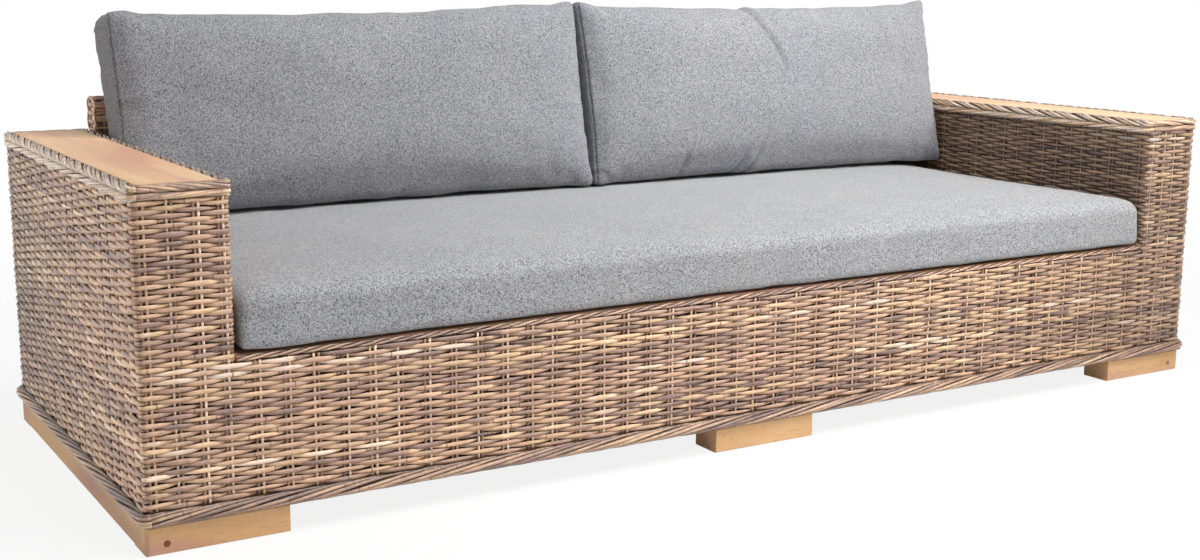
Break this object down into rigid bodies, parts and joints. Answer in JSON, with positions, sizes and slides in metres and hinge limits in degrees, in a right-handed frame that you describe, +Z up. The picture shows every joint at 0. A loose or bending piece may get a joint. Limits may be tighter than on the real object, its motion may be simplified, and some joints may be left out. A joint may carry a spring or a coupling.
{
  "type": "garden sofa",
  "caption": "Long low outdoor sofa: woven rattan body with braided borders, wooden arm boards and block feet, a seat cushion and loose back cushions.",
  "frame": {"origin": "on the floor, under the centre of the overall box", "axes": "+X along the sofa towards the right-hand arm as seen from the front, +Y towards the backrest, +Z up; the seat opens towards -Y"},
  "size_m": [2.424, 0.922, 0.8274],
  "materials": {
    "rattan_weave": "woven strands, satin",
    "rattan_braid": "braided strands, satin",
    "teak": "sanded, matt",
    "frame_timber": "planed, matt",
    "plug_filler": "dark filler, matt",
    "seat_fabric": "heathered woven cloth, matt",
    "back_fabric": "heathered woven cloth, matt"
  },
  "bodies": {
    "frame": {"left_foot_runner": "teak", "right_foot_runner": "teak", "left_front_foot": "teak", "right_front_foot": "teak", "left_rear_foot": "teak", "right_rear_foot": "teak", "left_foot_plug": "plug_filler", "right_foot_plug": "plug_filler", "middle_front_foot": "teak", "middle_rear_foot": "teak", "base_front_rail": "frame_timber", "base_rear_rail": "frame_timber", "base_left_rail": "frame_timber", "base_right_rail": "frame_timber", "base_middle_beam": "frame_timber", "left_arm_post_front_outer": "frame_timber", "left_arm_post_rear_outer": "frame_timber", "left_arm_post_front_inner": "frame_timber", "left_arm_post_rear_inner": "frame_timber", "right_arm_post_front_outer": "frame_timber", "right_arm_post_rear_outer": "frame_timber", "right_arm_post_front_inner": "frame_timber", "right_arm_post_rear_inner": "frame_timber", "left_arm_rail_outer": "frame_timber", "left_arm_rail_inner": "frame_timber", "right_arm_rail_outer": "frame_timber", "right_arm_rail_inner": "frame_timber", "seat_front_rail": "frame_timber", "seat_rear_rail": "frame_timber", "seat_joist_left": "frame_timber", "seat_joist_middle": "frame_timber", "seat_joist_right": "frame_timber", "seat_slat_1": "frame_timber", "seat_slat_2": "frame_timber", "seat_slat_3": "frame_timber", "seat_slat_4": "frame_timber", "seat_slat_5": "frame_timber", "backrest_top_rail": "frame_timber", "backrest_post_left": "frame_timber", "backrest_post_middle": "frame_timber", "backrest_post_right": "frame_timber", "front_weave": "rattan_weave", "back_weave": "rattan_weave", "left_arm_front_weave": "rattan_weave", "right_arm_front_weave": "rattan_weave", "left_side_weave": "rattan_weave", "right_side_weave": "rattan_weave", "left_arm_inner_weave": "rattan_weave", "right_arm_inner_weave": "rattan_weave", "backrest_weave": "rattan_weave", "base_border": "rattan_braid", "seat_edge_strand": "rattan_braid", "left_arm_braid": "rattan_braid", "right_arm_braid": "rattan_braid", "left_arm_board": "teak", "right_arm_board": "teak"},
    "seat_cushion": {"seat_cushion": "seat_fabric"},
    "back_cushion_left": {"back_cushion_left": "back_fabric"},
    "back_cushion_right": {"back_cushion_right": "back_fabric"}
  },
  "joints": [
    {"name": "seat_cushion_lift", "type": "slide", "parent": "frame", "child": "seat_cushion", "axis": [0, 0, 1], "range_m": [0, 0.4]},
    {"name": "back_cushion_left_lift", "type": "slide", "parent": "seat_cushion", "child": "back_cushion_left", "axis": [0, 0, 1], "range_m": [0, 0.35]},
    {"name": "back_cushion_right_lift", "type": "slide", "parent": "seat_cushion", "child": "back_cushion_right", "axis": [0, 0, 1], "range_m": [0, 0.35]}
  ]
}
